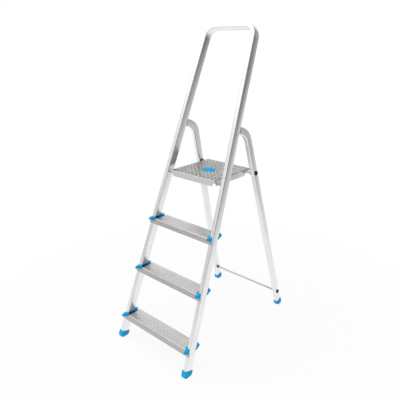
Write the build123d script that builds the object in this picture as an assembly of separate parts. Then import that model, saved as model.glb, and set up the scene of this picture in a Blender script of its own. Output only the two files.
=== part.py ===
from build123d import *
import math
import os

# Platform step ladder: a leaning hoop frame with treads, a platform and a folding rear frame.
# Millimetres. X runs across, +Y points from the climbing side to the rear, +Z is up.
# The origin is on the floor, under the middle of the open ladder.

# Overall sizes; the widths are over the tubes at the floor and at the top rail
overall_height = 1434.0
open_depth = 780.2
base_width = 445.4
top_width = 282.0
frame_lean = 21.0

# Crown of the tubes' wide and narrow faces
tube_side_radius = 150.0
tube_edge_radius = 90.0

# Front hoop tube
stile_depth = 42.0
stile_thickness = 22.0
stile_corner = 6.0
stile_wall = 1.5
hoop_bend_radius = 50.0

# Steps
tread_count = 3
first_step_height = 118.0
step_rise = 228.3
tread_depth = 70.0
tread_sheet = 2.0
tread_flange = 25.0
tread_rear_flange = 20.0
tread_nose_round = 8.0
tread_edge_round = 1.2
rib_count = 5
rib_width = 8.4
rib_height = 1.0
rib_margin = 11.0

# Collars at the tread ends
clip_inner_wall = 6.0
clip_above = 8.0
clip_front_below = 11.0
clip_rear_below = 12.0
clip_nose_half = 7.7
clip_nose_inset = 1.2
clip_nose_length = 29.4
clip_nose_tip = 4.5
clip_nose_rise = 9.0
clip_bridge = 4.0
clip_wing_length = 19.0
clip_wing_tip = 3.5
clip_wing_drop = 8.0
clip_wing_round = 13.0
clip_corner = 3.5
clip_edge_round = 1.2
clip_outer_inset = 0.8
clip_lip = 2.0
clip_groove_depth = 3.6
clip_groove_lift = 0.4
clip_groove_stop = 3.0

# Rivets that hold the tread fronts
rivet_radius = 2.4
rivet_head_radius = 3.8
rivet_head_height = 1.4
rivet_head_round = 0.9
rivet_drop = 20.2
rivet_bulb_radius = 3.6
rivet_bulb_length = 4.0

# Rear legs
leg_depth = 35.0
leg_thickness = 22.0
leg_corner = 6.0
leg_wall = 1.5
leg_bend_radius = 76.0
leg_reach = 85.0
stub_height = 1010.0

# Leg hinges
pivot_drop = 25.0
arm_width = 10.0
arm_half_height = 6.0
arm_eye_radius = 8.0
arm_entry_drop = 7.5
arm_overlap = 8.0
plug_end_gap = 2.0
pivot_radius = 4.0
spacer_radius = 8.0
leg_end_gap = 0.8
slot_margin = 0.8

# Feet
foot_wall = 2.8
foot_height = 27.0
sole_thickness = 14.0
sole_flat = 0.8
foot_round = 15.0
foot_corner = 7.0

# Platform
platform_width = 260.0
platform_front_overhang = 8.5
platform_rear_overhang = 20.5
platform_sheet = 1.8
platform_flange = 28.0
platform_side_flange = 27.0
platform_rear_flange = 20.0
platform_edge_round = 3.5
flange_corner_round = 12.0
corner_relief = 6.0
corner_web = 12.0
notch_gap = 2.0
notch_slant = 16.0
dot_radius = 8.5
dot_height = 2.4
dot_root = 0.3
dot_pitch = 22.5
dot_margin = 16.0
badge_half_width = 31.0
badge_half_depth = 24.0
badge_height = 1.6
badge_round = 0.5
badge_forward = 15.0
badge_clear = 1.5

# Bars
hinge_bar_radius = 7.0
hinge_bar_drop = 12.5
hinge_bar_forward = 8.0
hinge_bar_end_gap = 0.6
sleeve_wall = 2.2
rest_bar_radius = 8.0
rest_bar_wall = 1.5
rest_gap = 0.4
stretcher_radius = 5.0
stretcher_height = 88.0
rest_cap_radius = 10.5
rest_bush_radius = 12.0
stretcher_cap_radius = 10.0
stretcher_bush_radius = 8.0
bar_end_length = 2.0
cap_height = 3.8
cap_round = 1.2
bush_length = 5.0

# Fits: still parts, parts pressed against each other, turning shafts, and moving side faces
seat_gap = 0.15
touch_gap = 0.05
running_gap = 0.06
side_gap = 0.4

# Directions of the leaning frame, and a block size larger than any local feature
lean = math.radians(frame_lean)
up_slope = Vector(0, math.sin(lean), math.cos(lean))
rearward = Vector(0, math.cos(lean), -math.sin(lean))
across = Vector(1, 0, 0)
block = overall_height

# The feet stand out around the tubes, and set where the tubes' lines meet the floor
cup_extra = foot_wall + seat_gap
stile_half_depth = stile_depth / 2
stile_half = stile_thickness / 2
leg_half = leg_thickness / 2


def foot_reach(half_depth, angle):
    """How far a leaning tube's round foot reaches out from the centre line on the floor."""
    straight = (half_depth + cup_extra - foot_round) / math.cos(angle)
    return straight + foot_round - (foot_round - sole_flat) * math.tan(angle)


front_y = foot_reach(stile_half_depth, lean) - open_depth / 2

# The top rail's rounded upper corner reaches the overall height
rail_rise = (
    (stile_half_depth - stile_corner) * math.sin(lean)
    + (stile_half - stile_corner) * math.cos(lean)
    + stile_corner
)
rail_slope = (overall_height - rail_rise) / math.cos(lean)
base_x = base_width / 2 - stile_half
top_x = top_width / 2 - stile_half
inward = (base_x - top_x) / rail_slope


def frame_point(x, slope, behind):
    """A point in the leaning frame: across, up the slope and behind the tube's centre plane."""
    return Vector(0, front_y, 0) + across * x + up_slope * slope + rearward * behind


def slope_at(height, behind=0.0):
    """How far up the slope a line at this distance behind the centre plane has this height."""
    return (height + behind * math.sin(lean)) / math.cos(lean)


def stile_x(slope):
    """The right stile's centre line, measured across."""
    return base_x - inward * slope


def section(plane, depth, thickness, corner, grow):
    """A tube's outline with crowned faces and rounded corners, grown or shrunk all round."""
    side = tube_side_radius + grow
    edge = tube_edge_radius + grow
    side_middle = thickness / 2 + grow - side
    edge_middle = depth / 2 + grow - edge
    face = Pos(0, side_middle) * Circle(side) & Pos(0, -side_middle) * Circle(side)
    face = face & Pos(edge_middle, 0) * Circle(edge) & Pos(-edge_middle, 0) * Circle(edge)
    return plane * fillet(face.vertices(), corner + grow)


def beyond(point, direction):
    """Everything past a plane, on the side that the direction points to."""
    return Plane(origin=point, z_dir=direction) * Pos(0, 0, block / 2) * Box(block, block, block)


def rod_x(radius, x_from, x_to, y, z):
    """A round bar along X."""
    plane = Plane(origin=(x_from, y, z), x_dir=(0, 1, 0), z_dir=(1, 0, 0))
    return extrude(plane * Circle(radius), amount=x_to - x_from)


def disc_x(radius, x_from, x_to, y, z, edge_round):
    """A round bar along X with its far edge rounded."""
    disc = rod_x(radius, x_from, x_to, y, z)
    return fillet(disc.edges().sort_by(Axis.X)[-1], edge_round)


def crown_drop(radius, reach):
    """How far a crowned face has fallen away at a distance from its middle."""
    return radius - math.sqrt(radius**2 - reach**2)


def round_corner(outline, x, y, radius):
    """A flat outline with the corner nearest to a place rounded."""
    return fillet(outline.vertices().sort_by_distance((x, y, 0))[0], radius)


def mirrored(shape):
    """The left side's copy of a right-hand piece."""
    return mirror(shape, about=Plane.YZ)


def both_sides(pieces):
    """Right-hand pieces together with their left-hand copies."""
    return Compound(children=[*pieces, *[mirrored(piece) for piece in pieces]])


# Right stile line, also used for everything that is seated on it
stile_foot = frame_point(base_x, 0, 0)
stile_low = frame_point(stile_x(-foot_height), -foot_height, 0)
stile_top = frame_point(top_x, rail_slope, 0)
stile_dir = (stile_top - stile_low).normalized()
stile_side = stile_dir.cross(rearward).normalized()
if stile_side.X < 0:
    stile_side = -stile_side


def stile_block(grow):
    """A straight filled copy of the right stile, grown all round."""
    plane = Plane(origin=stile_low, x_dir=rearward, z_dir=stile_dir)
    face = section(plane, stile_depth, stile_thickness, stile_corner, grow)
    return extrude(face, amount=(stile_top - stile_low).length)


# Right rear leg line: out of the stile, round one bend, then straight to the floor
stub_slope = slope_at(stub_height)
stub_root = frame_point(stile_x(stub_slope), stub_slope, 0)
bend_point = stub_root + rearward * leg_reach
rough_foot_y = open_depth / 2 - foot_reach(leg_depth / 2, 0)
rough_lean = math.atan2(rough_foot_y - bend_point.Y, bend_point.Z)
leg_foot = Vector(base_width / 2 - leg_half, open_depth / 2 - foot_reach(leg_depth / 2, rough_lean), 0)
leg_dir = (leg_foot - bend_point).normalized()
leg_lean = math.atan2(leg_foot.Y - bend_point.Y, bend_point.Z)
leg_side = rearward.cross(leg_dir).normalized()
if leg_side.X < 0:
    leg_side = -leg_side
stub_up = leg_side.cross(rearward).normalized()
fold_angle = lean + leg_lean

# The straight run before the leg's bend, which holds the hinge plug
bend_turn = math.acos(rearward.dot(leg_dir))
stub_length = leg_reach - leg_bend_radius * math.tan(bend_turn / 2)
stub_end = stile_half_depth + leg_end_gap

# The leg turns on a pivot inside the stile, lower than its stub, at the end of a slanting arm
pivot_slope = stub_slope - pivot_drop
pivot = frame_point(stile_x(pivot_slope), pivot_slope, 0)
arm_rise = pivot_drop - arm_entry_drop
arm_angle = math.atan2(arm_rise, stub_end)
arm_dir = rearward * math.cos(arm_angle) + up_slope * math.sin(arm_angle)
arm_length = math.hypot(arm_rise, stub_end) + arm_overlap


def leg_point(height):
    """The right leg's centre at a height on its straight run."""
    return leg_foot + (bend_point - leg_foot) * (height / bend_point.Z)


def leg_tube(grow):
    """The filled right leg along its bent line, grown or shrunk all round."""
    path = FilletPolyline(
        stub_root, bend_point, leg_foot + leg_dir * foot_height, radius=leg_bend_radius
    )
    start = Plane(origin=stub_root, x_dir=stub_up, z_dir=rearward)
    return sweep(section(start, leg_depth, leg_thickness, leg_corner, grow), path=path)


def leg_block(grow):
    """A straight filled copy of the right leg below its bend, grown all round."""
    plane = Plane(origin=bend_point, x_dir=leg_side.cross(leg_dir), z_dir=leg_dir)
    face = section(plane, leg_depth, leg_thickness, leg_corner, grow)
    return extrude(face, amount=(leg_foot - bend_point).length + foot_height)


def leg_end_cut():
    """What the leg's end leaves free, so that it stands just clear of the stile."""
    return beyond(stub_root + rearward * stub_end, -rearward)


def square_cut(foot, direction, height):
    """Everything under a cut square to a tube, at a height on the tube's centre line."""
    return beyond(foot + direction * (height / direction.Z), -direction)


# Platform, its hinge bar and the bars between the legs
platform_height = first_step_height + tread_count * step_rise
platform_half = platform_width / 2
hinge_z = platform_height - hinge_bar_drop
hinge_slope = slope_at(hinge_z, -hinge_bar_forward)
hinge_y = frame_point(0, hinge_slope, -hinge_bar_forward).Y
rest_z = platform_height - platform_edge_round - rest_gap - rest_bar_radius
rest_y = leg_point(rest_z).Y
stretcher_y = leg_point(stretcher_height).Y
front_face_slope = slope_at(platform_height, -stile_half_depth)
platform_front = frame_point(0, front_face_slope, -stile_half_depth).Y - platform_front_overhang
platform_rear = rest_y + platform_rear_overhang
platform_depth = platform_rear - platform_front
platform_middle = (platform_front + platform_rear) / 2


def step_height(step):
    """Deck height of a tread, the lowest being number 0."""
    return first_step_height + step * step_rise


def rivet_places():
    """Planes on the stiles' front faces, pointing rearward, one for each tread rivet."""
    places = []
    for step in range(tread_count):
        slope = slope_at(step_height(step), -stile_half_depth) - rivet_drop
        for side in (-1, 1):
            point = frame_point(side * stile_x(slope), slope, -stile_half_depth)
            places.append(Plane(origin=point, x_dir=(1, 0, 0), z_dir=rearward))
    return places


def rivet_holes():
    """Holes for the rivet shanks."""
    hole = Cylinder(rivet_radius + touch_gap, 4 * (tread_sheet + stile_wall))
    return [place * hole for place in rivet_places()]


def front_hoop():
    """The bent tube with its floor cut, hinge slots and holes."""
    path = FilletPolyline(
        stile_low,
        stile_top,
        stile_top - across * (2 * stile_top.X),
        stile_low - across * (2 * stile_low.X),
        radius=hoop_bend_radius,
    )
    start = Plane(origin=stile_low, x_dir=rearward, z_dir=stile_dir)
    hoop = sweep(section(start, stile_depth, stile_thickness, stile_corner, 0), path=path)
    hoop -= sweep(section(start, stile_depth, stile_thickness, stile_corner, -stile_wall), path=path)
    folded = arm_angle - fold_angle
    slot_low = stile_half_depth * math.tan(folded) - arm_half_height / math.cos(folded) - slot_margin
    slot_high = stile_half_depth * math.tan(arm_angle) + arm_half_height / math.cos(arm_angle) + slot_margin
    slot_middle = pivot + up_slope * ((slot_low + slot_high) / 2) + rearward * stile_half_depth
    slot_plane = Plane(origin=slot_middle, x_dir=(1, 0, 0), z_dir=rearward)
    cuts = slot_plane * Box(arm_width + 2 * slot_margin, slot_high - slot_low, stile_half_depth)
    cuts += square_cut(stile_foot, stile_dir, sole_thickness)
    cuts += rod_x(pivot_radius + touch_gap, 0, base_width, pivot.Y, pivot.Z)
    cuts += rod_x(hinge_bar_radius + touch_gap, 0, stile_x(hinge_slope), hinge_y, hinge_z)
    hoop -= cuts
    hoop -= mirrored(cuts)
    return hoop - rivet_holes()


def tread(step):
    """One extruded tread: ribbed deck, leaning front flange over the stiles and rear flange."""
    deck = step_height(step)
    slope = slope_at(deck, -stile_half_depth)
    back = -stile_half_depth - touch_gap
    nose = frame_point(0, slope_at(deck, back - tread_sheet), back - tread_sheet)
    front_low = frame_point(0, slope - tread_flange, back - tread_sheet)
    back_low = frame_point(0, slope - tread_flange, back)
    end_top = deck - tread_nose_round
    front_top = frame_point(0, slope_at(end_top, back - tread_sheet), back - tread_sheet)
    back_top = frame_point(0, slope_at(end_top, back), back)
    back_under = frame_point(0, slope_at(deck - tread_sheet, back), back)
    rear = nose.Y + tread_depth

    flange_points = [(p.Y, p.Z) for p in (front_top, front_low, back_low, back_top)]
    deck_points = [(p.Y, p.Z) for p in (nose, front_low, back_low, back_under)]
    rear_low = deck - tread_rear_flange
    deck_points += [(rear - tread_sheet, deck - tread_sheet), (rear - tread_sheet, rear_low)]
    deck_points += [(rear, rear_low), (rear, deck)]

    deck_face = make_face(Polyline(*deck_points, close=True))
    deck_face = round_corner(deck_face, nose.Y, nose.Z, tread_nose_round)
    deck_face = round_corner(deck_face, back_under.Y, back_under.Z, tread_nose_round - tread_sheet)
    rib_pitch = (tread_depth - 2 * rib_margin) / (rib_count - 1)
    for rib in range(rib_count):
        rib_y = nose.Y + rib_margin + rib * rib_pitch
        deck_face += Pos(rib_y, deck) * Rectangle(rib_width, 2 * rib_height)
    deck_half = stile_x(slope_at(deck + rib_height)) - stile_half - clip_inner_wall - seat_gap
    body = extrude(Plane.YZ * deck_face, amount=deck_half, both=True)

    flange_face = make_face(Polyline(*flange_points, close=True))
    flange_face = round_corner(flange_face, front_top.Y, front_top.Z, tread_edge_round)
    flange = extrude(Plane.YZ * flange_face, amount=base_width / 2, both=True)
    end = stile_low + stile_side * stile_half
    end_cut = beyond(end, stile_side)
    flange -= end_cut
    flange -= mirrored(end_cut)
    return body + flange - rivet_holes()


def clip_outline():
    """A collar's outline from above, round the middle of the right stile."""
    reach = stile_half_depth / math.cos(lean)
    outer = stile_half - clip_outer_inset
    inner = -stile_half - clip_inner_wall
    front = -reach - clip_bridge
    rear = reach + clip_wing_length
    nose_side = clip_nose_half - clip_nose_inset
    shoulder = -reach / 2
    outline = Pos((outer + inner) / 2, (shoulder + rear) / 2) * Rectangle(outer - inner, rear - shoulder)
    outline += Pos(inner / 2, front / 2) * Rectangle(-inner, -front)
    outline += Pos(-clip_nose_inset, shoulder) * Rectangle(2 * clip_nose_half, reach)
    outline += Pos(-clip_nose_inset, -reach) * Ellipse(clip_nose_half, clip_nose_length)
    outline = round_corner(outline, nose_side, shoulder, clip_edge_round)
    outline = round_corner(outline, outer, shoulder, clip_edge_round)
    outline = round_corner(outline, nose_side - 2 * clip_nose_half, front, clip_corner)
    outline = round_corner(outline, inner, front, clip_corner)
    outline = round_corner(outline, outer, rear, clip_corner)
    return round_corner(outline, inner, rear, clip_wing_round)


def step_clip(step):
    """The right-hand collar: a nose ahead of the stile, a strip inside it and a wing behind it."""
    deck = step_height(step)
    top = deck + clip_above
    top_slope = slope_at(top)
    centre = frame_point(stile_x(top_slope), top_slope, 0)
    height = clip_above + clip_rear_below
    clip = extrude(Pos(centre) * clip_outline(), amount=height / stile_dir.Z, dir=-stile_dir)
    clip = fillet(clip.faces().sort_by(Axis.Z)[-1].edges(), clip_edge_round)

    front_low = deck - clip_front_below
    rear_low = deck - clip_rear_below
    nose_low = top - clip_nose_tip
    wing_low = top - clip_wing_drop - clip_wing_tip
    front_face = frame_point(0, slope_at(front_low, -stile_half_depth), -stile_half_depth).Y
    rear_face = frame_point(0, slope_at(rear_low, stile_half_depth), stile_half_depth).Y
    nose_end = front_face - 2 * clip_nose_length
    wing_end = rear_face + 2 * clip_wing_length
    underside = [
        (nose_end, 2 * nose_low - front_low),
        (front_face, front_low),
        (rear_face, rear_low),
        (wing_end, 2 * wing_low - rear_low),
        (wing_end, rear_low - height),
        (nose_end, rear_low - height),
    ]
    clip -= extrude(Plane.YZ * make_face(Polyline(*underside, close=True)), amount=base_width)
    clip -= nose_slope(centre.X, front_face, front_low)
    clip -= wing_slope(centre)
    clip -= clip_groove(centre)
    return clip - stile_block(seat_gap) - flange_pocket(step)


def nose_slope(x, y, low):
    """What the nose leaves free where its underside rises towards the tread."""
    outer = x + clip_nose_half - clip_nose_inset
    inner = x - 2 * clip_nose_half
    rise = clip_nose_rise * (outer - inner) / (2 * clip_nose_half)
    under = low - clip_rear_below
    corners = [(outer, low), (inner, low + rise), (inner, under), (outer, under)]
    return Pos(0, y, 0) * extrude(Plane.XZ * make_face(Polyline(*corners, close=True)), amount=block)


def wing_slope(centre):
    """What the wing leaves free where its top falls off towards the outer side."""
    low = (centre.X + stile_half, centre.Z - clip_wing_drop)
    high = (centre.X - stile_half, centre.Z)
    far = (low[0], centre.Z + clip_above)
    face = Plane.XZ * make_face(Polyline(low, high, far, close=True))
    return Pos(0, centre.Y, 0) * extrude(face, amount=-block)


def clip_groove(centre):
    """The groove along a collar's inner side, between its lip and the tread."""
    inner = centre.X - stile_half - clip_inner_wall
    reach = stile_half_depth / math.cos(lean)
    length = 2 * reach + clip_bridge - clip_groove_stop
    height = clip_above - clip_lip - clip_groove_lift
    middle_y = centre.Y + (clip_groove_stop - clip_bridge) / 2
    groove = Box(2 * clip_groove_depth, length, height)
    return Pos(inner, middle_y, centre.Z - clip_lip - height / 2) * groove


def flange_pocket(step):
    """Room for a tread's front flange and rivet head where it passes through a collar."""
    slope = slope_at(step_height(step) - tread_nose_round, -stile_half_depth)
    depth = tread_sheet + touch_gap + seat_gap
    height = tread_flange + clip_front_below
    middle = frame_point(0, slope + 2 * seat_gap - height / 2, -stile_half_depth - depth / 2)
    plane = Plane(origin=middle, x_dir=(1, 0, 0), z_dir=rearward)
    return plane * Box(2 * base_width, height, depth)


def tread_rivets():
    """Blind rivets with a domed head outside and a bulb inside the tube."""
    grip = tread_sheet + touch_gap
    head = Cylinder(rivet_head_radius, rivet_head_height)
    head = fillet(head.edges().sort_by(Axis.Z)[0], rivet_head_round)
    head = Pos(0, 0, -grip - rivet_head_height / 2) * head
    shank_length = grip + stile_wall + rivet_bulb_length
    shank = Pos(0, 0, shank_length / 2 - grip) * Cylinder(rivet_radius, shank_length)
    wall_crown = crown_drop(tube_edge_radius - stile_wall, rivet_bulb_radius)
    bulb_middle = stile_wall + wall_crown + touch_gap + rivet_bulb_length / 2
    bulb = Pos(0, 0, bulb_middle) * Cylinder(rivet_bulb_radius, rivet_bulb_length)
    rivet = head + shank + bulb
    return Compound(children=[place * rivet for place in rivet_places()])


def foot_cup(foot, direction, through, depth, thickness, inside):
    """A moulded cup round a tube end: square rim, rounded toe and heel and a flat sole."""
    half = depth / 2 + cup_extra
    front_low = (half * through.Z - sole_flat) / direction.Z
    rear_low = (-half * through.Z - sole_flat) / direction.Z
    top = 2 * foot_height
    corners = [(-half, front_low), (half, rear_low), (half, top), (-half, top)]
    outline = make_face(Polyline(*corners, close=True))
    outline = round_corner(outline, -half, front_low, foot_round)
    outline = round_corner(outline, half, rear_low, foot_round)
    side = through.cross(direction)
    plane = Plane(origin=foot, x_dir=through, z_dir=side)
    cup = extrude(plane * outline, amount=thickness / 2 + cup_extra, both=True)
    sides = cup.faces().sort_by(Axis(foot, side))
    cup = fillet(sides[0].edges() + sides[-1].edges(), foot_corner)
    cup -= beyond((0, 0, 0), (0, 0, -1))
    cup &= square_cut(foot, direction, foot_height)
    return cup - (inside - square_cut(foot, direction, sole_thickness))


def hinge_bar():
    """The platform's pivot bar; its ends stop inside the stiles, clear of their crowned walls."""
    wall_crown = crown_drop(tube_side_radius - stile_wall, hinge_bar_forward + hinge_bar_radius)
    wall_lean = inward * hinge_bar_radius
    wall = stile_x(hinge_slope) + stile_half - stile_wall - wall_crown - wall_lean
    end = wall - hinge_bar_end_gap
    return rod_x(hinge_bar_radius, -end, end, hinge_y, hinge_z)


def hinge_sleeve():
    """The right spacer tube on the hinge bar, between the platform and the stile."""
    start = platform_half + side_gap
    end = stile_x(hinge_slope)
    sleeve = rod_x(hinge_bar_radius + touch_gap + sleeve_wall, start, end, hinge_y, hinge_z)
    sleeve -= rod_x(hinge_bar_radius + touch_gap, start, end, hinge_y, hinge_z)
    return sleeve - stile_block(touch_gap)


def pivot_pin():
    """The right leg's pivot, flush with the stile's two sides."""
    return rod_x(pivot_radius, 0, base_width, pivot.Y, pivot.Z) & stile_block(-touch_gap)


def pivot_spacers():
    """Two rings on the right pivot that keep the tongue in the middle of the stile."""
    ring = rod_x(spacer_radius, 0, base_width, pivot.Y, pivot.Z) & stile_block(-stile_wall - touch_gap)
    ring -= rod_x(pivot_radius + touch_gap, 0, base_width, pivot.Y, pivot.Z)
    room = arm_width / 2 + side_gap
    ring -= rod_x(2 * spacer_radius, pivot.X - room, pivot.X + room, pivot.Y, pivot.Z)
    return ring.solids()


def rear_leg():
    """The right bent tube with its shaped end, floor cut and bar holes."""
    leg = leg_tube(0) - leg_tube(-leg_wall) - leg_end_cut() - square_cut(leg_foot, -leg_dir, sole_thickness)
    leg -= rod_x(rest_bar_radius + touch_gap, 0, base_width, rest_y, rest_z)
    return leg - rod_x(stretcher_radius + touch_gap, 0, base_width, stretcher_y, stretcher_height)


def hinge_tongue():
    """The right leg's end plug with the slanting arm that turns on the pivot."""
    stub = Plane(origin=stub_root, x_dir=stub_up, z_dir=rearward)
    outline = section(stub, leg_depth, leg_thickness, leg_corner, -leg_wall - seat_gap)
    plug = extrude(outline, amount=stub_length - plug_end_gap) - leg_end_cut()
    plate = Plane(origin=pivot, x_dir=arm_dir, z_dir=across)
    arm_outline = Circle(arm_eye_radius)
    arm_outline += Pos(arm_length / 2, 0) * Rectangle(arm_length, 2 * arm_half_height)
    arm = extrude(plate * arm_outline, amount=arm_width / 2, both=True)
    return plug + arm - rod_x(pivot_radius + running_gap, 0, base_width, pivot.Y, pivot.Z)


def bar_end(height):
    """How far across a bar between the legs reaches, just past the leg's outer face."""
    return leg_point(height).X + leg_half / leg_side.X + bar_end_length


def rest_bar():
    """The tube that the platform rests on."""
    end = bar_end(rest_z)
    bar = rod_x(rest_bar_radius, -end, end, rest_y, rest_z)
    return bar - rod_x(rest_bar_radius - rest_bar_wall, -end, end, rest_y, rest_z)


def lower_stretcher():
    """The rod between the legs near the floor."""
    end = bar_end(stretcher_height)
    return rod_x(stretcher_radius, -end, end, stretcher_y, stretcher_height)


def bar_cap(radius, bar_radius, y, z):
    """The right push-on cap over a bar's end, seated on the leg's outer face."""
    end = bar_end(z)
    cap = disc_x(radius, leg_point(z).X, end - bar_end_length + cap_height, y, z, cap_round)
    return cap - leg_block(touch_gap) - rod_x(bar_radius + touch_gap, 0, end + touch_gap, y, z)


def bar_bush(radius, bar_radius, y, z):
    """The right collar on a bar, seated on the leg's inner face."""
    middle = leg_point(z).X
    start = middle - leg_half / leg_side.X - bush_length
    bush = rod_x(radius, start, middle, y, z) - rod_x(bar_radius + touch_gap, start, middle, y, z)
    return bush - leg_block(touch_gap)


def flange_plate(y, height, corner):
    """A front or rear flange of the platform, with rounded lower corners."""
    width = platform_width - 2 * (platform_edge_round + corner_relief)
    plate = Box(width, platform_sheet, height - platform_edge_round)
    plate = fillet(plate.edges().filter_by(Axis.Y).sort_by(Axis.Z)[:2], corner)
    return Pos(0, y, platform_height - (height + platform_edge_round) / 2) * plate


def side_plate():
    """The right flange of the platform, notched over the rest bar."""
    inset = platform_edge_round + corner_relief
    front = platform_front + inset
    rear = platform_rear - inset
    top = platform_height - platform_edge_round
    bottom = platform_height - platform_side_flange
    notch_half = rest_bar_radius + notch_gap
    outline = [
        (front, top),
        (front, bottom),
        (rest_y - notch_half - notch_slant, bottom),
        (rest_y - notch_half, rest_z),
        (rest_y - notch_half, top),
    ]
    ahead = make_face(Polyline(*outline, close=True))
    behind_width = rear - rest_y - notch_half
    behind_height = platform_rear_flange - platform_edge_round
    behind = Pos(rear - behind_width / 2, top - behind_height / 2) * Rectangle(behind_width, behind_height)
    plane = Plane(origin=(platform_half - platform_sheet, 0, 0), x_dir=(0, 1, 0), z_dir=(1, 0, 0))
    return [extrude(plane * face, amount=platform_sheet) for face in (ahead, behind)]


def rounded_lid(shrink, top):
    """A block of the platform's upper part with rounded top and upright edges."""
    lid = Box(platform_width - 2 * shrink, platform_depth - 2 * shrink, corner_web)
    edges = lid.edges() - lid.faces().sort_by(Axis.Z)[0].edges()
    return Pos(0, platform_middle, top - corner_web / 2) * fillet(edges, platform_edge_round - shrink)


def dot_places():
    """The grid of raised dots, leaving out the badge's place."""
    columns = int((platform_half - dot_margin) / dot_pitch)
    rows = int((platform_depth / 2 - dot_margin) / dot_pitch)
    keep_x = badge_half_width + dot_radius + badge_clear
    keep_y = badge_half_depth + dot_radius + badge_clear
    for row in range(-rows, rows + 1):
        for column in range(-columns, columns + 1):
            x = column * dot_pitch
            y = row * dot_pitch
            if math.hypot(x / keep_x, (y + badge_forward) / keep_y) > 1:
                yield Pos(x, platform_middle + y, platform_height)


def platform_tray():
    """The folded sheet with its flanges, hinge holes and raised dots."""
    tray = rounded_lid(0, platform_height)
    tray -= rounded_lid(platform_sheet, platform_height - platform_sheet)
    tray += flange_plate(platform_front + platform_sheet / 2, platform_flange, flange_corner_round)
    tray += flange_plate(platform_rear - platform_sheet / 2, platform_rear_flange, platform_edge_round)
    for plate in side_plate():
        tray += plate
        tray += mirrored(plate)
    notch_width = 2 * (rest_bar_radius + notch_gap)
    notch_top = platform_height - platform_edge_round
    tray -= Pos(0, rest_y, notch_top - block / 2) * Box(platform_width, notch_width, block)
    tray -= rod_x(hinge_bar_radius + running_gap, -platform_half, platform_half, hinge_y, hinge_z)
    dome_radius = (dot_radius**2 + dot_height**2) / (2 * dot_height)
    dome = Pos(0, 0, dot_height - dome_radius) * Sphere(dome_radius) & beyond((0, 0, -dot_root), (0, 0, 1))
    return tray + [place * dome for place in dot_places()]


def platform_badge():
    """The plain oval plate on the platform."""
    badge = extrude(Ellipse(badge_half_width, badge_half_depth), amount=badge_height)
    badge = fillet(badge.edges().sort_by(Axis.Z)[-1], badge_round)
    return Pos(0, platform_middle - badge_forward, platform_height) * badge


# Every named piece
os.makedirs("parts", exist_ok=True)
nodes = {"front_hoop": front_hoop()}
for step in range(tread_count):
    nodes[f"tread_{step + 1}"] = tread(step)
    clip = step_clip(step)
    nodes[f"step_clip_right_{step + 1}"] = clip
    nodes[f"step_clip_left_{step + 1}"] = mirrored(clip)
nodes["tread_rivets"] = tread_rivets()

right_pieces = {
    "front_foot": foot_cup(
        stile_foot, stile_dir, rearward, stile_depth, stile_thickness, stile_block(seat_gap)
    ),
    "rear_foot": foot_cup(
        leg_foot, -leg_dir, leg_side.cross(leg_dir), leg_depth, leg_thickness, leg_block(seat_gap)
    ),
    "rear_leg": rear_leg(),
    "hinge_tongue": hinge_tongue(),
    "pivot_pin": pivot_pin(),
}
for name, piece in right_pieces.items():
    nodes[f"{name}_right"] = piece
    nodes[f"{name}_left"] = mirrored(piece)

nodes["pivot_spacers"] = both_sides(pivot_spacers())
nodes["hinge_bar"] = hinge_bar()
nodes["hinge_sleeves"] = both_sides([hinge_sleeve()])
nodes["rest_bar"] = rest_bar()
nodes["rest_bar_caps"] = both_sides([bar_cap(rest_cap_radius, rest_bar_radius, rest_y, rest_z)])
nodes["rest_bar_bushes"] = both_sides([bar_bush(rest_bush_radius, rest_bar_radius, rest_y, rest_z)])
nodes["lower_stretcher"] = lower_stretcher()
stretcher = (stretcher_radius, stretcher_y, stretcher_height)
nodes["stretcher_caps"] = both_sides([bar_cap(stretcher_cap_radius, *stretcher)])
nodes["stretcher_bushes"] = both_sides([bar_bush(stretcher_bush_radius, *stretcher)])
nodes["platform_tray"] = platform_tray()
nodes["platform_badge"] = platform_badge()

for name, shape in nodes.items():
    export_step(shape, f"parts/{name}.step")
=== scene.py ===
# %% [markdown]
# # A platform step ladder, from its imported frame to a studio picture
# The ladder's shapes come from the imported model: hoop, treads, collars, feet, platform, rear legs and bars.
# This lesson gives each of them its finish, adds the snapped stems in the rivet heads, which only show close
# up, and sets a plain studio around them. Everything is in metres: X runs across, +Y points to the rear and
# +Z is up.

# %% Load the frame
import math

import bpy
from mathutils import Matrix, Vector


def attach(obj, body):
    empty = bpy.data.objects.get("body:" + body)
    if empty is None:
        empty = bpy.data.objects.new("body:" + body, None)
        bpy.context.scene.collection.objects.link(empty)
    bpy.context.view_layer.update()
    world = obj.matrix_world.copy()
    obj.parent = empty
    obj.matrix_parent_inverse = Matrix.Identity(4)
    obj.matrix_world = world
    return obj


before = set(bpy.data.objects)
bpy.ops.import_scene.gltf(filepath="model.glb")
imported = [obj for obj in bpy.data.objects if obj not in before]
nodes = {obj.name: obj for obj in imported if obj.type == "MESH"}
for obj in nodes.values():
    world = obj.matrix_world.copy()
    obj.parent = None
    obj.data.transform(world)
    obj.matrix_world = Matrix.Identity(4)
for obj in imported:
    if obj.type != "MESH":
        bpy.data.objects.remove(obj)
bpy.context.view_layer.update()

# %% [markdown]
# ## Measures that the finishes follow
# The drawn tubes carry fine lines along their length, so the shaders have to know which way each tube runs.
# The hoop leans back, and its stiles close in towards the top. The legs lean the other way. These few values
# repeat the ladder's own sizes.

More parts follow.
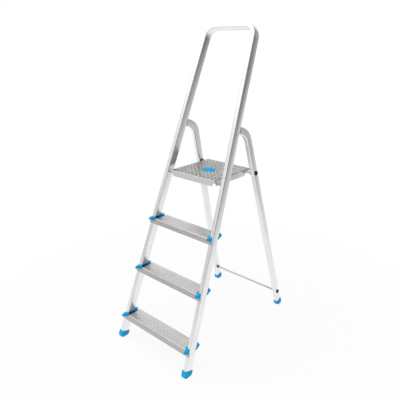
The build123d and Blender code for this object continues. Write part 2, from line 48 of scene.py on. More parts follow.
# %% Directions of the tubes
LEAN = math.radians(21.0)
HOOP_FOOT_Y = -0.37096  # where a stile's centre line meets the floor
HOOP_BASE_X = 0.2117
HOOP_INWARD = 0.05379  # how far a stile closes in for each metre up
HOOP_RAIL = 1.51884  # from the floor to the top rail's centre line, along a stile
HOOP_BEND = 0.050
LEG_LEAN = math.radians(15.807)
LEG_INWARD = 0.0571
FIRST_STEP = 0.118
STEP_RISE = 0.2283
hoop_up = (0.0, math.sin(LEAN), math.cos(LEAN))
hoop_back = (0.0, math.cos(LEAN), -math.sin(LEAN))
leg_up = (0.0, -math.sin(LEG_LEAN), math.cos(LEG_LEAN))
leg_back = (0.0, math.cos(LEG_LEAN), math.sin(LEG_LEAN))
print("hoop runs along", [round(v, 3) for v in hoop_up], "legs along", [round(v, 3) for v in leg_up])

# %% [markdown]
# ## Small helpers for shader trees
# A shader tree is a set of nodes joined by links. Three short functions keep the recipes below readable: one
# fills a socket, one adds a node and fills its sockets, and one does a step of arithmetic. A value that is a
# socket gets linked, and any other value is written on the socket itself.


# %% Nodes and arithmetic
def put(tree, socket, value):
    """Link a socket, or write a plain value on it."""
    if isinstance(value, bpy.types.NodeSocket):
        tree.links.new(value, socket)
    else:
        socket.default_value = value


def add(tree, kind, inputs=None, **settings):
    """Add a node of one kind, with its settings and its inputs by name or number."""
    node = tree.nodes.new(kind)
    for name, value in settings.items():
        setattr(node, name, value)
    for name, value in (inputs or {}).items():
        put(tree, node.inputs[name], value)
    return node


def calc(tree, operation, first, second=0.0, clamp=False):
    """One step of arithmetic."""
    node = add(tree, "ShaderNodeMath", {0: first, 1: second}, operation=operation, use_clamp=clamp)
    return node.outputs[0]


print("helpers", [helper.__name__ for helper in (put, add, calc)])

# %% [markdown]
# ## Helpers for places
# A finish often asks where a point lies. A point can be taken apart into its three numbers, put together
# again in another order, measured along a slanting axis, or scaled differently on each axis.


# %% Places
def apart(tree, point):
    """A point's three numbers, by the names X, Y and Z."""
    return add(tree, "ShaderNodeSeparateXYZ", {0: point}).outputs


def together(tree, first, second, third):
    """A point from three numbers."""
    return add(tree, "ShaderNodeCombineXYZ", {0: first, 1: second, 2: third}).outputs[0]


def along_axis(tree, point, axis):
    """How far a point lies along an axis."""
    node = add(tree, "ShaderNodeVectorMath", {0: point, 1: axis}, operation="DOT_PRODUCT")
    return node.outputs["Value"]


def stretch(tree, point, scale):
    """A point scaled by a different amount on each axis."""
    node = add(tree, "ShaderNodeVectorMath", {0: point, 1: scale}, operation="MULTIPLY")
    return node.outputs["Vector"]


print("helpers", [helper.__name__ for helper in (apart, together, along_axis, stretch)])

# %% [markdown]
# ## Helpers for tones
# The answer to where a point lies is a tone. A soft step turns a measure into a mask, a noise gives soft
# random shading, and a mask blends two colours. A Mix node has sockets for numbers, vectors and colours under
# the same names, so its colour sockets are found by their numbers.

# %% Masks, noise and colours
MIX_FIRST, MIX_SECOND, MIX_RESULT = 6, 7, 2


def fade(tree, value, low, high, out_low=0.0, out_high=1.0):
    """A soft step from one level to another."""
    names = {"Value": value, "From Min": low, "From Max": high, "To Min": out_low, "To Max": out_high}
    node = add(tree, "ShaderNodeMapRange", names, interpolation_type="SMOOTHSTEP")
    return node.outputs["Result"]


def noise(tree, point, scale, detail=2.0, roughness=0.5):
    """Soft random shading between 0 and 1."""
    inputs = {"Vector": point, "Scale": scale, "Detail": detail, "Roughness": roughness}
    return add(tree, "ShaderNodeTexNoise", inputs).outputs["Fac"]


def blend_colour(tree, amount, first, second):
    """A colour between two others."""
    node = add(tree, "ShaderNodeMix", data_type="RGBA")
    put(tree, node.inputs["Factor"], amount)
    put(tree, node.inputs[MIX_FIRST], first)
    put(tree, node.inputs[MIX_SECOND], second)
    return node.outputs[MIX_RESULT]


print("helpers", [helper.__name__ for helper in (fade, noise, blend_colour)])

# %% [markdown]
# ## Helpers for node groups
# An effect that several finishes share is built once as a node group, with named sockets on its outside. Each
# material then places the group and gives it its own values.

# %% Node groups
FLOAT = "NodeSocketFloat"
VECTOR = "NodeSocketVector"


def new_group(name, inputs, outputs):
    """An empty node group with named sockets."""
    group = bpy.data.node_groups.new(name, "ShaderNodeTree")
    for label, kind, value in inputs:
        socket = group.interface.new_socket(name=label, in_out="INPUT", socket_type=kind)
        if value is not None:
            socket.default_value = value
    for label, kind in outputs:
        group.interface.new_socket(name=label, in_out="OUTPUT", socket_type=kind)
    entry = group.nodes.new("NodeGroupInput")
    leave = group.nodes.new("NodeGroupOutput")
    return group, entry.outputs, leave.inputs


def use_group(tree, group, **inputs):
    """Place a group in a material, with its own values."""
    node = tree.nodes.new("ShaderNodeGroup")
    node.node_tree = group
    for name, value in inputs.items():
        put(tree, node.inputs[name], value)
    return node.outputs


print("helpers", [helper.__name__ for helper in (new_group, use_group)])

# %% [markdown]
# ## Drawn lines
# Aluminium tube is pushed through a die, which leaves fine lines along its length. A noise that is squeezed
# across the tube and stretched along it gives them. The group takes a point already turned so that its third
# number runs along the tube, and it puts out a height for the bump and a mask for the roughness.

# %% The drawn lines group
LINE_STRETCH = (1.0, 1.0, 0.012)
BROAD_LINES = 0.16  # how coarse the broad lines are, beside the fine ones
FINE_SHARE = 0.6
LINE_TONES = (0.3, 0.7)
drawn_lines, enter, leave = new_group(
    "drawn_lines",
    [("Point", VECTOR, None), ("Fineness", FLOAT, 900.0)],
    [("Height", FLOAT), ("Mask", FLOAT)],
)
tree = drawn_lines
squeezed = stretch(tree, enter["Point"], LINE_STRETCH)
fine = noise(tree, squeezed, enter["Fineness"])
broad = noise(tree, squeezed, calc(tree, "MULTIPLY", enter["Fineness"], BROAD_LINES))
fine_part = calc(tree, "MULTIPLY", fine, FINE_SHARE)
broad_part = calc(tree, "MULTIPLY", broad, 1.0 - FINE_SHARE)
put(tree, leave["Height"], calc(tree, "ADD", fine_part, broad_part))
put(tree, leave["Mask"], fade(tree, broad, *LINE_TONES))
print("group", drawn_lines.name)

# %% [markdown]
# ## Handling marks
# A ladder is carried, leaned and wiped. That leaves broad soft smears and a few fine scratches, which change
# how sharp the reflections are much more than they change the colour. One group makes both, so the metal and
# the plastic pieces can each have a little of it.

# %% The handling marks group
METAL_SMEARS = 14.0
SMEAR_DETAIL = 4.0
SMEAR_RAGGED = 0.6
SMEAR_EDGE = (0.35, 0.7)
SCRATCH_STRETCH = (1.0, 1.0, 0.25)
SCRATCH_WIDTH = 0.012
SCRATCH_NET = 6.0  # how fine the net of scratches is, beside the smears
SCRATCH_FIELDS = 4.0  # how fine the fields are in which scratches show, beside the smears
FIELD_EDGE = (0.52, 0.62)
handling, enter, leave = new_group(
    "handling_marks",
    [("Point", VECTOR, None), ("Size", FLOAT, METAL_SMEARS)],
    [("Smears", FLOAT), ("Scratches", FLOAT)],
)
tree = handling
smear = noise(tree, enter["Point"], enter["Size"], SMEAR_DETAIL, SMEAR_RAGGED)
put(tree, leave["Smears"], fade(tree, smear, *SMEAR_EDGE))
fields = noise(tree, enter["Point"], calc(tree, "MULTIPLY", enter["Size"], SCRATCH_FIELDS))
cells = {
    "Vector": stretch(tree, enter["Point"], SCRATCH_STRETCH),
    "Scale": calc(tree, "MULTIPLY", enter["Size"], SCRATCH_NET),
}
scratch = add(tree, "ShaderNodeTexVoronoi", cells, feature="DISTANCE_TO_EDGE").outputs["Distance"]
thin = fade(tree, scratch, 0.0, SCRATCH_WIDTH, 1.0, 0.0)
put(tree, leave["Scratches"], calc(tree, "MULTIPLY", thin, fade(tree, fields, *FIELD_EDGE)))
print("group", handling.name)

# %% [markdown]
# ## Moulded grain
# The blue collars and feet come out of a mould that was given a fine matt grain. It is a small even noise,
# with a slower one that lets the colour drift a little, as it does where the plastic flowed.

# %% The moulded grain group
DRIFT_SCALE = 0.03  # how coarse the drift is, beside the grain
moulded, enter, leave = new_group(
    "moulded_grain",
    [("Point", VECTOR, None), ("Grain", FLOAT, 1400.0)],
    [("Height", FLOAT), ("Drift", FLOAT)],
)
tree = moulded
put(tree, leave["Height"], noise(tree, enter["Point"], enter["Grain"]))
flow = calc(tree, "MULTIPLY", enter["Grain"], DRIFT_SCALE)
put(tree, leave["Drift"], noise(tree, enter["Point"], flow))
print("group", moulded.name)

# %% [markdown]
# ## Tube directions
# The hoop is one bent tube, so its lines run up one stile, round the bend, along the top rail and down again.
# The distance from the tube's centre line does that: it is measured from the stile below the bend, from the
# rail above it, and round the bend's centre between the two. The legs are straight below their bent tops.


# %% Points that follow the tubes
def hoop_point(tree, point):
    """A point measured across, through and along the bent hoop."""
    side = calc(tree, "ABSOLUTE", apart(tree, point)["X"])
    climb = calc(tree, "SUBTRACT", along_axis(tree, point, hoop_up), HOOP_FOOT_Y * hoop_up[1])
    through = calc(tree, "SUBTRACT", along_axis(tree, point, hoop_back), HOOP_FOOT_Y * hoop_back[1])
    centre = calc(tree, "SUBTRACT", HOOP_BASE_X, calc(tree, "MULTIPLY", climb, HOOP_INWARD))
    from_stile = calc(tree, "ADD", calc(tree, "SUBTRACT", side, centre), HOOP_BEND)
    from_rail = calc(tree, "ADD", calc(tree, "SUBTRACT", climb, HOOP_RAIL), HOOP_BEND)
    stile_part = calc(tree, "MAXIMUM", from_stile, 0.0)
    rail_part = calc(tree, "MAXIMUM", from_rail, 0.0)
    squares = calc(tree, "ADD", calc(tree, "POWER", stile_part, 2.0), calc(tree, "POWER", rail_part, 2.0))
    inside = calc(tree, "MINIMUM", calc(tree, "MAXIMUM", from_stile, from_rail), 0.0)
    across = calc(tree, "ADD", calc(tree, "SQRT", squares), inside)
    return together(tree, across, through, calc(tree, "SUBTRACT", climb, side))


def leg_point(tree, point):
    """A point measured across, through and along a rear leg."""
    side = calc(tree, "ABSOLUTE", apart(tree, point)["X"])
    climb = along_axis(tree, point, leg_up)
    across = calc(tree, "ADD", side, calc(tree, "MULTIPLY", climb, LEG_INWARD))
    return together(tree, across, along_axis(tree, point, leg_back), climb)


def across_point(tree, point):
    """A point whose third number runs across the ladder, for treads and bars."""
    parts = apart(tree, point)
    return together(tree, parts["Y"], parts["Z"], parts["X"])


print("lines can follow", [follow.__name__ for follow in (hoop_point, leg_point, across_point)])

# %% [markdown]
# ## Starting a finish
# Every material starts the same way: an empty tree, the object's own coordinates, and one Principled shader.
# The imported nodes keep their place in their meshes, so Object coordinates are the ladder's coordinates.


# %% Start a material
def new_finish(name):
    """A material with its coordinates and its shader."""
    material = bpy.data.materials.new(name)
    material.use_nodes = True
    tree = material.node_tree
    tree.nodes.clear()
    shader = tree.nodes.new("ShaderNodeBsdfPrincipled")
    output = tree.nodes.new("ShaderNodeOutputMaterial")
    tree.links.new(shader.outputs["BSDF"], output.inputs["Surface"])
    point = tree.nodes.new("ShaderNodeTexCoord").outputs["Object"]
    return material, tree, shader.inputs, point


def bump(tree, height, strength, distance):
    """A normal bent by a height."""
    inputs = {"Height": height, "Strength": strength, "Distance": distance}
    return add(tree, "ShaderNodeBump", inputs).outputs["Normal"]


print("helpers", [helper.__name__ for helper in (new_finish, bump)])

# %% [markdown]
# ## Bare metal
# Hoop and legs are drawn aluminium tube, and the bars are bright steel. They differ in how their lines run,
# in how rough they are and in tone, so one function makes them. The lines bend the reflections only a little.
# What shows from a few steps away is the way they spread the light: the roughness wanders with the smears.

# %% A worn metal surface
LINE_BUMP = 0.05
SCRATCH_SHINE = 0.08  # how much smoother the metal is in a fresh scratch


def worn_metal(tree, shader, point, turned, bright, dull, rough, spread, fineness, depth):
    """Fill a shader with bare metal, and give back its colour."""
    lines = use_group(tree, drawn_lines, Point=turned, Fineness=fineness)
    marks = use_group(tree, handling, Point=point, Size=METAL_SMEARS)
    half_lines = calc(tree, "MULTIPLY", lines["Mask"], 0.5)
    tone = calc(tree, "ADD", half_lines, calc(tree, "MULTIPLY", marks["Smears"], 0.5))
    rougher = calc(tree, "ADD", rough, calc(tree, "MULTIPLY", tone, spread))
    shine = calc(tree, "MULTIPLY", marks["Scratches"], SCRATCH_SHINE)
    put(tree, shader["Roughness"], calc(tree, "SUBTRACT", rougher, shine))
    put(tree, shader["Normal"], bump(tree, lines["Height"], LINE_BUMP, depth))
    shader["Metallic"].default_value = 1.0
    return blend_colour(tree, tone, (*bright, 1.0), (*dull, 1.0))


print("helper", worn_metal.__name__)

# %% Tube and bar finishes
TUBE_LINE_DEPTH = 0.0001


def tube_finish(name, follow, bright, dull, rough, spread, fineness):
    """Drawn metal whose lines follow a tube or a bar."""
    material, tree, shader, point = new_finish(name)
    turned = follow(tree, point)
    colour = worn_metal(tree, shader, point, turned, bright, dull, rough, spread, fineness, TUBE_LINE_DEPTH)
    put(tree, shader["Base Color"], colour)
    return material


hoop_metal = tube_finish(
    "drawn_hoop_aluminium", hoop_point,
    bright=(0.91, 0.91, 0.92), dull=(0.86, 0.86, 0.87), rough=0.22, spread=0.10, fineness=900.0,
)
leg_metal = tube_finish(
    "drawn_leg_aluminium", leg_point,
    bright=(0.90, 0.90, 0.91), dull=(0.84, 0.84, 0.85), rough=0.24, spread=0.10, fineness=900.0,
)
bar_metal = tube_finish(
    "bright_bar_steel", across_point,
    bright=(0.72, 0.72, 0.72), dull=(0.60, 0.60, 0.60), rough=0.28, spread=0.12, fineness=1300.0,
)
rod_metal = tube_finish(
    "grey_rod_steel", across_point,
    bright=(0.73, 0.72, 0.71), dull=(0.63, 0.62, 0.61), rough=0.55, spread=0.15, fineness=1300.0,
)
print("metals", [metal.name for metal in (hoop_metal, leg_metal, bar_metal, rod_metal)])

# %% [markdown]
# ## Pressed and ribbed sheet
# The treads are extruded with raised ribs, and the platform's sheet is pressed into domes. On both, the tops
# are rubbed bright and the low places between them are darker: partly dirt and oxide left there, partly painted
# shade in the hollows. The flanges that hang below the edge are painted greyer, as painted shade. Only the
# flanges at the platform's sides, between the stiles, keep the sheet's first brightness. The height over the
# sheet decides which is which, so the same function serves a tread and the platform.

# %% A sheet finish
SHEET_FINENESS = 1000.0
SHEET_LINE_DEPTH = 0.0002
DECK_EDGE = (-0.0010, -0.0002)  # heights over the sheet between which a side becomes the deck
RUBBED = (0.1, 0.75)  # shares of the relief between which a dull place becomes a rubbed top
PATCH_SCALE = 60.0
PATCH_DETAIL = 3.0
PATCH_RAGGED = 0.6
DIRT_AND_SHADE_PATCHES = (0.25, 0.6)
FLANGE_PATCHES = (0.2, 0.7)
FLANGE_LEAST = 0.85  # how grey a flange is in its brightest patches
FLANGE_START = 0.1  # the share of the turn at which the flange's grey begins
SIDE_FLANGE = (0.004, 0.002)  # how far inside the tray's side the side flange begins
tray_half = max(vertex.co.x for vertex in nodes["platform_tray"].data.vertices)


def sheet_finish(name, level, relief, turn, bright, dull, low, flange, rough, spread, least_darkening=0.6, side=None):
    """Bare sheet whose pattern stands up from a level, with dirt and painted shade in low places and painted
    shade on flanges below a turn.
    """
    material, tree, shader, point = new_finish(name)
    turned = across_point(tree, point)
    colour = worn_metal(
        tree, shader, point, turned, bright, dull, rough, spread, SHEET_FINENESS, SHEET_LINE_DEPTH
    )
    height = calc(tree, "SUBTRACT", apart(tree, point)["Z"], level)
    between = fade(tree, height, *(share * relief for share in RUBBED), 1.0, 0.0)
    hollow = calc(tree, "MULTIPLY", fade(tree, height, *DECK_EDGE), between)
    patches = noise(tree, point, PATCH_SCALE, PATCH_DETAIL, PATCH_RAGGED)
    # dirt and painted shade: the low places between ribs and domes are darkened
    dirt_and_shade = calc(tree, "MULTIPLY", hollow, fade(tree, patches, *DIRT_AND_SHADE_PATCHES, least_darkening, 1.0))
    deck = blend_colour(tree, dirt_and_shade, colour, (*low, 1.0))
    # painted shade: the flanges below the turn get a greyer colour than the deck
    below = fade(tree, height, -turn, -FLANGE_START * turn, 1.0, 0.0)
    hanging = calc(tree, "MULTIPLY", below, fade(tree, patches, *FLANGE_PATCHES, FLANGE_LEAST, 1.0))
    lower = (*flange, 1.0)
    if side:
        outward = calc(tree, "ABSOLUTE", apart(tree, point)["X"])
        at_side = fade(tree, outward, *(tray_half - inset for inset in SIDE_FLANGE))
        lower = blend_colour(tree, at_side, lower, (*side, 1.0))
    put(tree, shader["Base Color"], blend_colour(tree, hanging, deck, lower))
    return material


print("helper", sheet_finish.__name__, "with the tray's side at", round(tray_half, 4))

# %% Tread and platform finishes
TREADS = 3
tread_metals = [
    sheet_finish(
        f"ribbed_tread_{step + 1}", level=FIRST_STEP + STEP_RISE * step, relief=0.0010, turn=0.0006,
        # low is the colour of dirt and painted shade in the hollows, and flange is the painted shade on the
        # flanges
        bright=(0.80, 0.79, 0.78), dull=(0.72, 0.71, 0.70), low=(0.60, 0.59, 0.58),
        flange=(0.54, 0.53, 0.52), rough=0.32, spread=0.12,
    )
    for step in range(TREADS)
]
platform_metal = sheet_finish(
    "domed_platform", level=FIRST_STEP + TREADS * STEP_RISE, relief=0.0024, turn=0.006,
    bright=(0.74, 0.74, 0.73), dull=(0.58, 0.58, 0.57), low=(0.335, 0.33, 0.325),
    flange=(0.61, 0.61, 0.60), rough=0.26, spread=0.16, least_darkening=0.3, side=(0.80, 0.80, 0.79),
)
print("sheets", [metal.name for metal in (*tread_metals, platform_metal)])

# %% [markdown]
# ## Painted shade in the collars
# Along a collar's inner side runs a groove where the tread ends, and the blue there is darkened as painted
# shade, the shade that falls into the groove and along the front of the lip above it. A mask finds the place
# from the tube's own measures: inside the stile, between its front and its back, and strongest low down. The
# height is counted from each deck again, so one mask serves the collars of all treads.

# %% A mask for the groove
INNER_SIDE = (HOOP_BEND - 0.0125, HOOP_BEND - 0.0105)
GROOVE_FRONT = (-0.024, -0.019)
GROOVE_REAR = (0.012, 0.020)
GROOVE_TOP = (0.0055, 0.0065)
LIP_RUN = (-0.012, 0.014)
# how much painted shade lies along the front of the lip
LIP_SHADE = 0.85
UNDER_DECK = 0.1


def collar_groove_shade(tree, point):
    """How much painted shade a collar gets, from the inner side of its stile."""
    parts = apart(tree, hoop_point(tree, point))
    lifted = calc(tree, "SUBTRACT", apart(tree, point)["Z"], FIRST_STEP - UNDER_DECK)
    over_deck = calc(tree, "SUBTRACT", calc(tree, "FLOORED_MODULO", lifted, STEP_RISE), UNDER_DECK)
    inside = fade(tree, parts["X"], *INNER_SIDE, 1.0, 0.0)
    front = fade(tree, parts["Y"], *GROOVE_FRONT)
    rear = fade(tree, parts["Y"], *GROOVE_REAR, 1.0, 0.0)
    in_groove = fade(tree, over_deck, *GROOVE_TOP, 1.0, 0.0)
    on_lip = fade(tree, parts["Y"], *LIP_RUN, LIP_SHADE, 0.0)
    strip = calc(tree, "MULTIPLY", inside, calc(tree, "MULTIPLY", front, rear))
    return calc(tree, "MULTIPLY", strip, calc(tree, "MAXIMUM", in_groove, on_lip))


print("helper", collar_groove_shade.__name__)

# %% [markdown]
# ## Moulded plastic
# The collars, feet and badge are blue, the caps and bushes on the bars are black or dark grey, and the hinge
# pieces are grey nylon. All are mouldings with the same grain, so one function makes them, and only the
# collars get the mask of painted shade.

# %% A plastic finish
# the colour of the painted shade in the collars' grooves
GROOVE_SHADE_COLOUR = (0.004, 0.05, 0.10, 1.0)
DRIFT_SHADE = 0.86
GRAIN_BUMP = 0.2
PLASTIC_SMEARS = 30.0
SMEAR_ROUGH = 0.12


def plastic_finish(name, colour, rough, gloss, grain_depth=0.0002, shade_mask=None):
    """Moulded plastic with a fine grain, a little colour drift and painted shade where a mask puts it."""
    material, tree, shader, point = new_finish(name)
    grain = use_group(tree, moulded, Point=point)
    marks = use_group(tree, handling, Point=point, Size=PLASTIC_SMEARS)
    darker = tuple(channel * DRIFT_SHADE for channel in colour)
    shade = blend_colour(tree, grain["Drift"], (*colour, 1.0), (*darker, 1.0))
    if shade_mask:
        # painted shade: the blue is darkened where the mask finds the groove and the lip's front
        shade = blend_colour(tree, shade_mask(tree, point), shade, GROOVE_SHADE_COLOUR)
    put(tree, shader["Base Color"], shade)
    smeared = calc(tree, "MULTIPLY", marks["Smears"], SMEAR_ROUGH)
    put(tree, shader["Roughness"], calc(tree, "ADD", rough, smeared))
    put(tree, shader["Normal"], bump(tree, grain["Height"], GRAIN_BUMP, grain_depth))
    shader["Specular IOR Level"].default_value = gloss
    return material


print("helper", plastic_finish.__name__)

# %% Plastic finishes
BLUE = (0.0, 0.45, 0.86)
blue_plastic = plastic_finish("blue_moulding", BLUE, rough=0.42, gloss=0.2)
# the collars carry painted shade in their grooves
collar_plastic = plastic_finish("blue_collar_moulding", BLUE, rough=0.42, gloss=0.2, shade_mask=collar_groove_shade)
badge_plastic = plastic_finish("blue_badge", (0.0, 0.47, 1.0), rough=0.55, gloss=0.05, grain_depth=0.0001)
black_plastic = plastic_finish("black_moulding", (0.012, 0.012, 0.013), rough=0.45, gloss=0.3)
dark_plastic = plastic_finish("dark_grey_moulding", (0.13, 0.13, 0.13), rough=0.5, gloss=0.3)
grey_plastic = plastic_finish("grey_nylon", (0.42, 0.42, 0.42), rough=0.45, gloss=0.4)
blues = [blue_plastic.name, collar_plastic.name, badge_plastic.name]
print("plastics", blues, [black_plastic.name, dark_plastic.name, grey_plastic.name])

# %% [markdown]
# ## Finishes on the pieces
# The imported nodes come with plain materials. Each node's name starts with what it is, so a table from name
# starts to finishes covers them all. A longer start stands before a shorter one that it begins with.

# %% Give every node its finish
finishes = {
    "front_hoop": hoop_metal,
    "rear_leg": leg_metal,
    "tread_rivets": bar_metal,
    "tread_1": tread_metals[0],
    "tread_2": tread_metals[1],
    "tread_3": tread_metals[2],
    "platform_tray": platform_metal,
    "platform_badge": badge_plastic,
    "step_clip": collar_plastic,
    "front_foot": blue_plastic,
    "rear_foot": blue_plastic,
    "rest_bar_bushes": dark_plastic,
    "rest_bar_caps": black_plastic,
    "stretcher_": black_plastic,
    "hinge_tongue": grey_plastic,
    "hinge_sleeves": grey_plastic,
    "pivot_spacers": grey_plastic,
    "pivot_pin": bar_metal,
    "hinge_bar": bar_metal,
    "rest_bar": bar_metal,
    "lower_stretcher": rod_metal,
}
for name, node in nodes.items():
    start = next(start for start in finishes if name.startswith(start))
    node.data.materials.clear()
    node.data.materials.append(finishes[start])
print("finished", len(nodes), "nodes")

# %% [markdown]
# ## Snapped stems in the rivet heads
# A blind rivet is set by pulling a steel stem through it until the stem snaps, and its end stays behind in
# the head as a small dished stub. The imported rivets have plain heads, so the stubs are added. A stub could be
# lathed from a profile, but a cylinder with its end inset twice and its rim bevelled gives the same shape in
# three steps. One is modelled on the lowest right head, and the others are copies moved to their heads.

# %% Where the rivet heads are
STILE_FACE = 0.0210  # from a stile's centre line to its front
HEAD_RISE = 0.00345
RIVET_DROP = 0.0202  # below the deck's front, along a stile


def rivet_spot(step, side):
    """The middle of a rivet head's outer face."""
    deck = FIRST_STEP + STEP_RISE * step
    climb = (deck - STILE_FACE * math.sin(LEAN)) / math.cos(LEAN) - RIVET_DROP
    foot = Vector((side * (HOOP_BASE_X - HOOP_INWARD * climb), HOOP_FOOT_Y, 0.0))
    return foot + Vector(hoop_up) * climb - Vector(hoop_back) * (STILE_FACE + HEAD_RISE)


spots = [rivet_spot(step, side) for step in range(TREADS) for side in (1, -1)]
print("rivet heads", [[round(value, 4) for value in spot] for spot in spots])

# %% A plain stem
STEM_SIDES = 24
STEM_RADIUS = 0.0014
STEM_LENGTH = 0.0016
tilt = (LEAN + math.pi / 2, 0.0, 0.0)
bpy.ops.object.select_all(action="DESELECT")
bpy.ops.mesh.primitive_cylinder_add(
    vertices=STEM_SIDES, radius=STEM_RADIUS, depth=STEM_LENGTH, location=spots[0], rotation=tilt
)
stem = bpy.context.object
stem.name = "rivet_stem_1"
bpy.ops.object.transform_apply(location=True, rotation=True, scale=True)
print(stem.name, "faces", len(stem.data.polygons))

# %% The stem's dished end
RIM_WIDTH = 0.0005
DISH_SLOPE = 0.0003
DISH_DEPTH = 0.0004
RIM_ROUND = 0.00018
RIM_STEPS = 2
FACING = 0.9  # how squarely a face has to look outwards to be the end
SHARP_EDGE = math.radians(40.0)
bpy.ops.object.mode_set(mode="EDIT")
bpy.ops.mesh.select_mode(type="FACE")
bpy.ops.mesh.select_all(action="DESELECT")
bpy.ops.object.mode_set(mode="OBJECT")
for face in stem.data.polygons:
    face.select = face.normal.dot(Vector(hoop_back)) < -FACING
bpy.ops.object.mode_set(mode="EDIT")
bpy.ops.mesh.inset(thickness=RIM_WIDTH, depth=0.0)
bpy.ops.mesh.inset(thickness=DISH_SLOPE, depth=-DISH_DEPTH)
bpy.ops.object.mode_set(mode="OBJECT")
rim = stem.modifiers.new("rim", "BEVEL")
rim.width = RIM_ROUND
rim.segments = RIM_STEPS
bpy.ops.object.modifier_apply(modifier="rim")
bpy.ops.object.shade_smooth_by_angle(angle=SHARP_EDGE)
print(stem.name, "faces", len(stem.data.polygons))

# %% The stem's finish and its copies
stem_metal = tube_finish(
    "snapped_stem_steel", across_point,
    bright=(0.42, 0.41, 0.40), dull=(0.30, 0.29, 0.28), rough=0.4, spread=0.15, fineness=2600.0,
)
stem.data.materials.append(stem_metal)
stems = [stem]
for number, spot in enumerate(spots[1:], start=2):
    bpy.ops.object.select_all(action="DESELECT")
    stem.select_set(True)
    bpy.context.view_layer.objects.active = stem
    bpy.ops.object.duplicate(linked=False)
    copy = bpy.context.object
    copy.name = f"rivet_stem_{number}"
    bpy.ops.transform.translate(value=spot - spots[0])
    bpy.ops.object.transform_apply(location=True, rotation=True, scale=True)
    stems.append(copy)
for piece in stems:
    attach(piece, "front_frame")
print("stems", [piece.name for piece in stems])

# %% [markdown]
# ## The studio
# Bare metal has hardly any colour of its own and shows the room around it, so the room is what makes it look
# like metal. The ladder stands on white paper in a white room, with one dark curtain on its right. The tubes'
# right faces pick up the curtain and fade to white where they turn towards the rear or look down at the paper
# near the feet. Behind the ladder the curtain's top hangs over a little, and the hoop's right bend shows it.
# The camera sees white paper everywhere, with the ladder's own faint shadow on it. Floor and room both have
# to know where the curtain is and what kind of ray looks at them.

# %% Helpers for the studio
DARK_SIDE = (0.956, 0.292, 0.0)
CURTAIN_EDGE = (0.52, 0.92)


def curtain_at(tree, direction):
    """How much of the hanging curtain lies in a direction."""
    return fade(tree, along_axis(tree, direction, DARK_SIDE), *CURTAIN_EDGE)


def ray_kinds(tree):
    """Whether a ray goes straight to the camera, and whether metal mirrors it."""
    path = add(tree, "ShaderNodeLightPath").outputs
    direct = calc(tree, "MAXIMUM", path["Is Camera Ray"], path["Is Transmission Ray"])
    return direct, path["Is Glossy Ray"]


def mix_shaders(tree, amount, first, second):
    """A shader between two others."""
    return add(tree, "ShaderNodeMixShader", {0: amount, 1: first, 2: second}).outputs[0]


print("helpers", [helper.__name__ for helper in (curtain_at, ray_kinds, mix_shaders)])

# %% [markdown]
# ## The paper floor
# A plane under the ladder is enough for the paper. Its shader has three faces: plain diffuse paper that takes
# the shadow, plain white for the camera, and for the metal a paper that darkens where it runs under the
# curtain, far from the ladder.

# %% Floor
PAPER_SIZE = 24.0
bpy.ops.object.select_all(action="DESELECT")
bpy.ops.mesh.primitive_plane_add(size=PAPER_SIZE, location=(0.0, 0.0, 0.0))
floor = bpy.context.object
floor.name = "studio_floor"
print("floor", floor.name, "is", PAPER_SIZE, "wide")

# %% What the metal sees of the paper
BRIGHT_REACH = 1.25  # within this distance the paper mirrors as white
LEAST_AWAY = 0.1  # keeps the division sound right under the ladder
NEAR_PAPER = (0.97, 0.97, 0.97, 1.0)
FAR_PAPER = (0.24, 0.24, 0.25, 1.0)
floor_paint = bpy.data.materials.new("pale_floor")
floor_paint.use_nodes = True
tree = floor_paint.node_tree
tree.nodes.clear()
place = tree.nodes.new("ShaderNodeTexCoord").outputs["Object"]
away = add(tree, "ShaderNodeVectorMath", {0: place}, operation="LENGTH").outputs["Value"]
unit = add(tree, "ShaderNodeVectorMath", {0: place}, operation="NORMALIZE").outputs["Vector"]
nearness = calc(tree, "DIVIDE", BRIGHT_REACH, calc(tree, "MAXIMUM", away, LEAST_AWAY))
dim = calc(tree, "MULTIPLY", curtain_at(tree, unit), calc(tree, "SUBTRACT", 1.0, nearness, clamp=True))
mirrored_tone = blend_colour(tree, dim, NEAR_PAPER, FAR_PAPER)
mirrored = add(tree, "ShaderNodeEmission", {"Color": mirrored_tone, "Strength": 1.0}).outputs[0]
print("paint", floor_paint.name)

# %% What the camera sees of the paper
WHITE = (1.0, 1.0, 1.0, 1.0)
PAPER = (0.92, 0.92, 0.92, 1.0)
WHITE_SHARE = 0.9  # near the ladder, and the rest shows the shadow
SHADOW_REACH = (0.7, 1.6)
diffuse = add(tree, "ShaderNodeBsdfDiffuse", {"Color": PAPER}).outputs[0]
white = add(tree, "ShaderNodeEmission", {"Color": WHITE, "Strength": 1.0}).outputs[0]
direct, glossy = ray_kinds(tree)
shown = calc(tree, "MULTIPLY", direct, fade(tree, away, *SHADOW_REACH, WHITE_SHARE, 1.0))
surface = mix_shaders(tree, shown, mix_shaders(tree, glossy, diffuse, mirrored), white)
add(tree, "ShaderNodeOutputMaterial", {"Surface": surface})
floor.data.materials.append(floor_paint)
print("staged", floor.name)

# %% [markdown]
# ## The room
# The walls are painted on the world: pale, and a little greyer near the floor, with the curtain over them.
# The camera looks past all that at plain white.

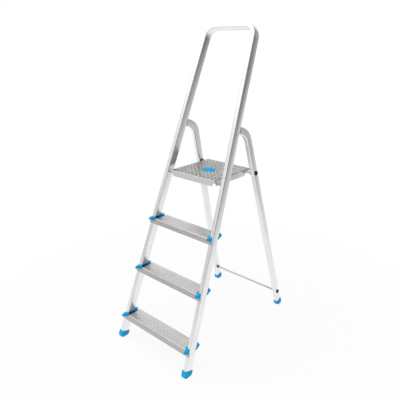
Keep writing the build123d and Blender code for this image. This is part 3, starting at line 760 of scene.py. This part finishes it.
# %% Room
DARK_OVERHANG = (0.331, 0.701, 0.631)
OVERHANG_EDGE = (0.82, 0.94)
OVERHANG_DARK = 0.85
GREY_UP_TO = 0.42
LOW_WALL = (0.60, 0.60, 0.61, 1.0)
CURTAIN = (0.15, 0.15, 0.16, 1.0)
ROOM_LIGHT = 0.95
world = bpy.data.worlds.new("studio_room")
bpy.context.scene.world = world
world.use_nodes = True
tree = world.node_tree
tree.nodes.clear()
outward = tree.nodes.new("ShaderNodeTexCoord").outputs["Generated"]
overhang = fade(tree, along_axis(tree, outward, DARK_OVERHANG), *OVERHANG_EDGE, 0.0, OVERHANG_DARK)
curtain = calc(tree, "MAXIMUM", curtain_at(tree, outward), overhang)
walls = blend_colour(tree, fade(tree, apart(tree, outward)["Z"], 0.0, GREY_UP_TO), LOW_WALL, WHITE)
room_tone = blend_colour(tree, curtain, walls, CURTAIN)
room = add(tree, "ShaderNodeBackground", {"Color": room_tone, "Strength": ROOM_LIGHT}).outputs[0]
backdrop = add(tree, "ShaderNodeBackground", {"Color": WHITE, "Strength": 1.0}).outputs[0]
direct, _ = ray_kinds(tree)
add(tree, "ShaderNodeOutputWorld", {"Surface": mix_shaders(tree, direct, room, backdrop)})
print("room", world.name)

# %% [markdown]
# ## Lamps
# Two large soft lamps are enough: one overhead for the decks, and one from the left of the climbing side for
# the stiles' fronts. They stay weak, because the white room already lights the ladder.

# %% Lamps
LADDER_MIDDLE = Vector((0.0, 0.0, 0.6))


def soft_lamp(name, place, size, power):
    """A square soft light that points at the ladder."""
    lamp = bpy.data.lights.new(name, "AREA")
    lamp.shape = "SQUARE"
    lamp.size = size
    lamp.energy = power
    holder = bpy.data.objects.new(name, lamp)
    bpy.context.scene.collection.objects.link(holder)
    holder.location = place
    holder.rotation_euler = (LADDER_MIDDLE - Vector(place)).to_track_quat("-Z", "Y").to_euler()
    return holder


lamps = [
    soft_lamp("overhead_light", (-0.4, -0.6, 3.4), size=2.4, power=16.0),
    soft_lamp("left_light", (-1.9, -1.7, 3.3), size=1.6, power=9.0),
]
print("lamps", [lamp.name for lamp in lamps])

# %% [markdown]
# ## The camera
# The picture's camera stands to the right of the climbing side and looks down a little.

# %% Camera
AZIMUTH = math.radians(41.3)
ELEVATION = math.radians(20.35)
CAMERA_PLACE = (1.226, -1.43476, 1.359)
SENSOR_MM = 36.0
LENS_MM = 38.556
camera_data = bpy.data.cameras.new("picture_camera")
camera_data.sensor_width = SENSOR_MM
camera_data.lens = LENS_MM
camera = bpy.data.objects.new("picture_camera", camera_data)
bpy.context.scene.collection.objects.link(camera)
camera.location = CAMERA_PLACE
camera.rotation_euler = (math.pi / 2 - ELEVATION, 0.0, AZIMUTH)
bpy.context.scene.camera = camera
bpy.context.scene.view_settings.view_transform = "Standard"
print("camera at", CAMERA_PLACE)
